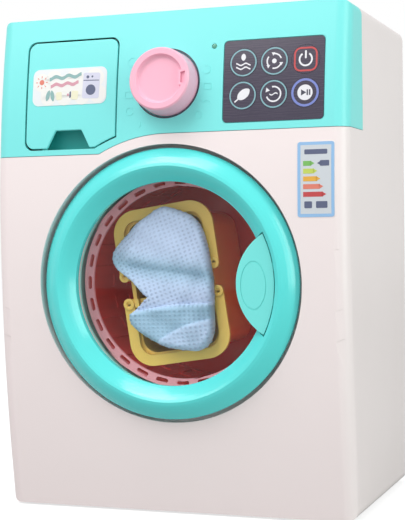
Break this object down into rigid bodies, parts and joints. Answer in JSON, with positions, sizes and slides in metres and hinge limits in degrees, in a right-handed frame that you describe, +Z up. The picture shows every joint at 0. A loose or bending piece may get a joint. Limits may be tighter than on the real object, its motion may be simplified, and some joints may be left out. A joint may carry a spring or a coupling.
{
  "type": "toy washing machine",
  "caption": "Toy washing machine with a round hinged door, a geared drum, a programme knob, keys, a detergent drawer, a battery bay and a basket of laundry",
  "frame": {"origin": "On the surface that the feet stand on, under the middle of the whole part's box.", "axes": "+Z up and the longest extent, +X to the right seen from the front, +Y to the back."},
  "size_m": [0.208, 0.1556, 0.2812],
  "materials": {
    "white_shell": "satin",
    "turquoise_shell": "satin",
    "turquoise_door": "glossy",
    "turquoise_bright": "glossy",
    "pink_knob": "satin",
    "overlay_film": "glossy",
    "key_film": "glossy",
    "lens_green": "glossy",
    "board": "satin",
    "black_parts": "matte",
    "steel": "brushed",
    "inner_white": "matte",
    "drawer_inner": "satin",
    "sticker_film": "satin",
    "window_clear": "clear polished",
    "drum_red": "glossy",
    "bush_brass": "machined",
    "gear_nylon": "satin",
    "cell_jacket": "printed jacket",
    "rubber_feet": "matte",
    "basket_yellow": "satin",
    "cloth_blue": "waffle weave"
  },
  "bodies": {
    "cabinet": {"cabinet_body": "white_shell", "back_cover": "white_shell", "cover_screws": "steel", "foot_pads": "rubber_feet", "control_fascia": "turquoise_shell", "fascia_screws": "steel", "key_overlay": "overlay_film", "led_lens": "lens_green", "circuit_board": "board", "key_switches": "black_parts", "board_parts": "black_parts", "board_screws": "steel", "click_spring": "steel", "drawer_guide": "drawer_inner", "front_label": "sticker_film", "hinge_bracket": "turquoise_door", "hinge_pin": "steel", "latch_catch": "inner_white", "tub": "inner_white", "tub_screws": "steel", "shaft_bush": "bush_brass", "gearbox": "inner_white", "motor_can": "steel", "motor_mount": "inner_white", "mount_screws": "steel", "battery_box": "inner_white", "battery_cells": "cell_jacket", "battery_contacts": "steel", "speaker": "black_parts"},
    "door": {"door_ring": "turquoise_door", "door_window": "window_clear", "door_retainer": "turquoise_door", "retainer_screws": "steel", "handle_pin": "steel", "handle_spring": "steel"},
    "handle": {"door_handle": "turquoise_bright"},
    "drum": {"drum_barrel": "drum_red", "drum_shaft": "steel", "drum_gear": "gear_nylon", "gear_clip": "steel", "basket_tub": "basket_yellow", "basket_handle_upper": "basket_yellow", "laundry_cloth": "cloth_blue"},
    "lower_bail": {"basket_handle_lower": "basket_yellow"},
    "pinion": {"motor_pinion": "gear_nylon"},
    "knob": {"program_knob": "pink_knob", "click_wheel": "inner_white", "knob_screw": "steel"},
    "drawer": {"drawer_front": "turquoise_shell", "detergent_tray": "drawer_inner", "drawer_badge": "sticker_film"},
    "lid": {"battery_lid": "white_shell", "lid_screw": "steel"},
    "key_soak": {"key_soak": "key_film"},
    "key_spin": {"key_spin": "key_film"},
    "key_power": {"key_power": "key_film"},
    "key_leaf": {"key_leaf": "key_film"},
    "key_rounds": {"key_rounds": "key_film"},
    "key_start": {"key_start": "key_film"}
  },
  "joints": [
    {"name": "door_swing", "type": "hinge", "parent": "cabinet", "child": "door", "pos_m": [-0.066, -0.06573, 0.1295], "axis": [0, 0, -1], "range_deg": [0, 88]},
    {"name": "handle_pull", "type": "hinge", "parent": "door", "child": "handle", "pos_m": [0.0621, -0.06583, 0.1295], "axis": [0, 0, 1], "range_deg": [0, 8], "stiffness_Nm_per_rad": 0.03, "springref_deg": -5.73},
    {"name": "drum_spin", "type": "hinge", "parent": "cabinet", "child": "drum", "pos_m": [0.0012, -0.00873, 0.1295], "axis": [0, 1, 0], "continuous": true},
    {"name": "pinion_spin", "type": "hinge", "parent": "cabinet", "child": "pinion", "pos_m": [0.0372, 0.03527, 0.1295], "axis": [0, 1, 0], "continuous": true},
    {"name": "program_turn", "type": "hinge", "parent": "cabinet", "child": "knob", "pos_m": [0.0012, -0.06367, 0.2402], "axis": [0, -0.9913, 0.1316], "continuous": true},
    {"name": "drawer_slide", "type": "slide", "parent": "cabinet", "child": "drawer", "axis": [0, -1, 0], "range_m": [0, 0.04]},
    {"name": "lid_swing", "type": "hinge", "parent": "cabinet", "child": "lid", "pos_m": [0, 0.07527, 0.0257], "axis": [-1, 0, 0], "range_deg": [0, 100]},
    {"name": "lower_bail_fold", "type": "hinge", "parent": "drum", "child": "lower_bail", "pos_m": [-0.00422, -0.04293, 0.12089], "axis": [-0.989, 0, -0.1478], "range_deg": [0, 12]},
    {"name": "key_soak_press", "type": "slide", "parent": "cabinet", "child": "key_soak", "axis": [0, 1, 0], "range_m": [0, 0.0005], "stiffness_N_per_m": 300, "springref_m": -0.001},
    {"name": "key_spin_press", "type": "slide", "parent": "cabinet", "child": "key_spin", "axis": [0, 1, 0], "range_m": [0, 0.0005], "stiffness_N_per_m": 300, "springref_m": -0.001},
    {"name": "key_power_press", "type": "slide", "parent": "cabinet", "child": "key_power", "axis": [0, 1, 0], "range_m": [0, 0.0005], "stiffness_N_per_m": 300, "springref_m": -0.001},
    {"name": "key_leaf_press", "type": "slide", "parent": "cabinet", "child": "key_leaf", "axis": [0, 1, 0], "range_m": [0, 0.0005], "stiffness_N_per_m": 300, "springref_m": -0.001},
    {"name": "key_rounds_press", "type": "slide", "parent": "cabinet", "child": "key_rounds", "axis": [0, 1, 0], "range_m": [0, 0.0005], "stiffness_N_per_m": 300, "springref_m": -0.001},
    {"name": "key_start_press", "type": "slide", "parent": "cabinet", "child": "key_start", "axis": [0, 1, 0], "range_m": [0, 0.0005], "stiffness_N_per_m": 300, "springref_m": -0.001}
  ],
  "couplings": [
    {"joint": "pinion_spin", "follows": "drum_spin", "ratio": -4.1429}
  ]
}
